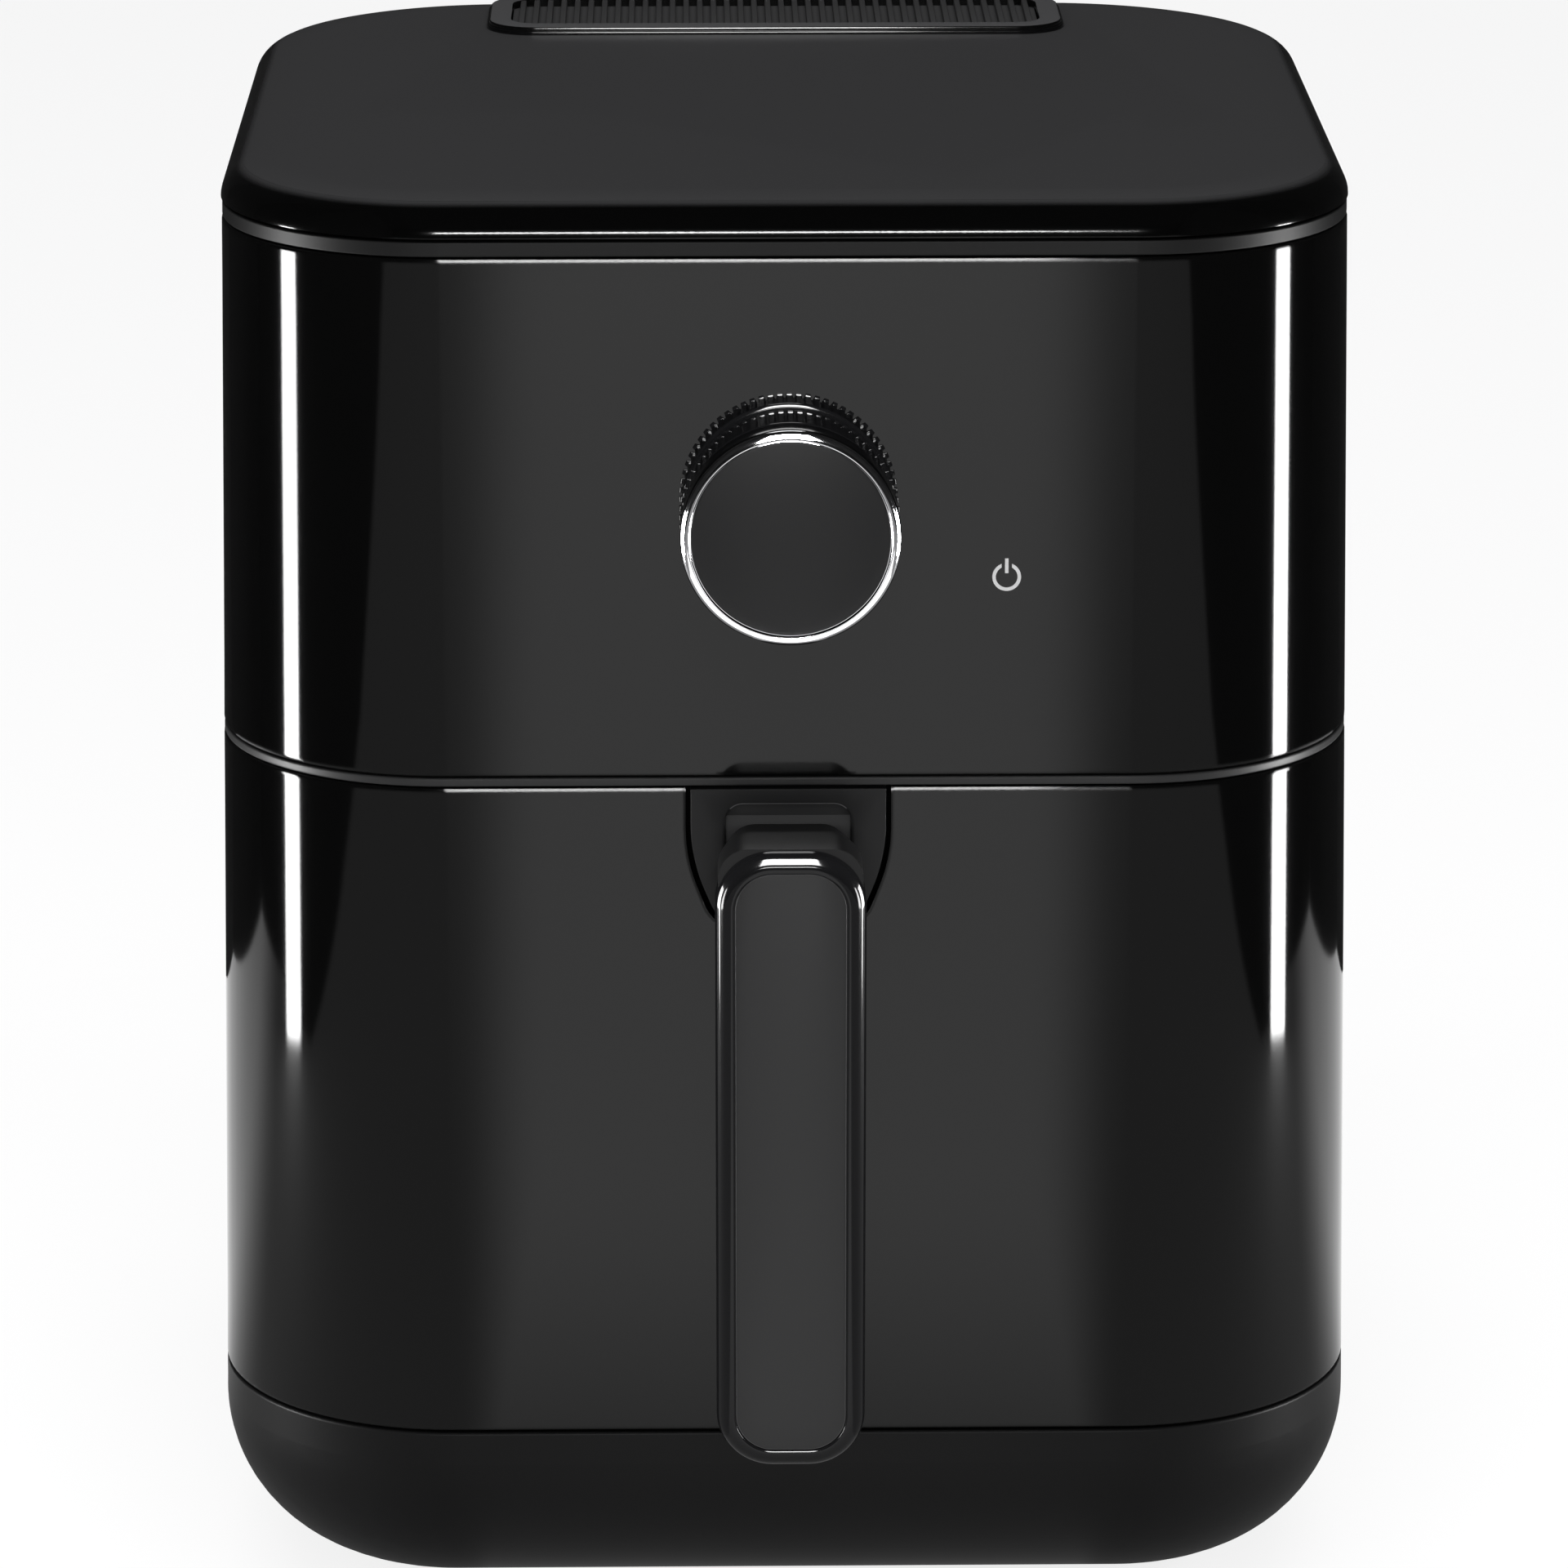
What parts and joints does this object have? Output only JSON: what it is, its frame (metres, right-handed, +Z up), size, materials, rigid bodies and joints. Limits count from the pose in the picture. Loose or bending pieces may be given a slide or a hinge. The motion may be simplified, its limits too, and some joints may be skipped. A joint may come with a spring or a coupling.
{
  "type": "air fryer",
  "caption": "Tall drawer air fryer with rounded dark housing, pull-out pan with hanging handle, double rotary knob and ribbed rear vent.",
  "frame": {"origin": "on the floor plane, at the middle of the overall width and depth", "axes": "+Z up, the drawer's handle and the knob face -Y"},
  "size_m": [0.2732, 0.3069, 0.349],
  "materials": {
    "satin_shell": "satin-gloss dark moulded plastic",
    "matte_base": "fine-grained matte black plastic",
    "trim_band": "satin dark metal band",
    "gloss_black": "polished black plastic",
    "handle_satin": "satin dark plastic",
    "bright_chrome": "polished chrome",
    "icon_print": "light grey print",
    "rubber": "soft black rubber",
    "steel_sheet": "plain pressed steel sheet",
    "steel_part": "turned steel",
    "element_metal": "oxidised sheathed heating tube",
    "fan_metal": "pressed aluminium",
    "fan_plastic": "moulded fan plastic",
    "motor_metal": "motor can with dark varnish",
    "board_green": "green circuit board",
    "nonstick": "dark non-stick coating"
  },
  "bodies": {
    "housing": {"base_shell": "matte_base", "rubber_feet": "rubber", "base_screws": "steel_part", "rear_shell": "satin_shell", "cord_gland": "fan_plastic", "control_housing": "satin_shell", "lower_trim": "trim_band", "upper_trim": "trim_band", "top_cover": "satin_shell", "vent_rim": "gloss_black", "vent_grille": "matte_base", "chamber_liner": "steel_sheet", "chamber_hood": "steel_sheet", "drawer_runners": "steel_sheet", "fan_guard": "steel_sheet", "heating_element": "element_metal", "element_clips": "steel_sheet", "motor": "motor_metal", "motor_bracket": "steel_sheet", "motor_screws": "steel_part", "control_board": "board_green", "knob_encoder": "fan_plastic", "board_posts": "fan_plastic", "touch_pad": "board_green", "power_icon": "icon_print", "thermal_fuse": "motor_metal", "door_switch": "fan_plastic"},
    "fan_rotor": {"motor_shaft": "steel_part", "convection_fan": "fan_metal", "cooling_fan": "fan_plastic", "fan_nut": "steel_part"},
    "temperature_dial": {"temperature_ring": "gloss_black"},
    "timer_dial": {"timer_knob": "gloss_black", "timer_shaft": "steel_part", "knob_bezel": "bright_chrome", "knob_face": "handle_satin"},
    "drawer": {"drawer_front": "satin_shell", "drawer_plate": "matte_base", "drawer_pan": "nonstick", "handle_bracket": "matte_base", "handle_frame": "gloss_black", "handle_inlay": "handle_satin", "handle_screws": "steel_part"},
    "crisper": {"crisper_plate": "nonstick", "plate_bumpers": "rubber"}
  },
  "joints": [
    {"name": "drawer_slide", "type": "slide", "parent": "housing", "child": "drawer", "axis": [0, -1, 0], "range_m": [0, 0.24]},
    {"name": "crisper_lift", "type": "slide", "parent": "drawer", "child": "crisper", "axis": [0, 0, 1], "range_m": [0, 0.128]},
    {"name": "fan_spin", "type": "hinge", "parent": "housing", "child": "fan_rotor", "pos_m": [0, 0.0318, 0.25], "axis": [0, 0, 1], "continuous": true},
    {"name": "temperature_turn", "type": "hinge", "parent": "housing", "child": "temperature_dial", "pos_m": [0, -0.11921, 0.2782], "axis": [0, -1, 0], "continuous": true},
    {"name": "timer_turn", "type": "hinge", "parent": "housing", "child": "timer_dial", "pos_m": [0, -0.13621, 0.2782], "axis": [0, -1, 0], "continuous": true}
  ]
}
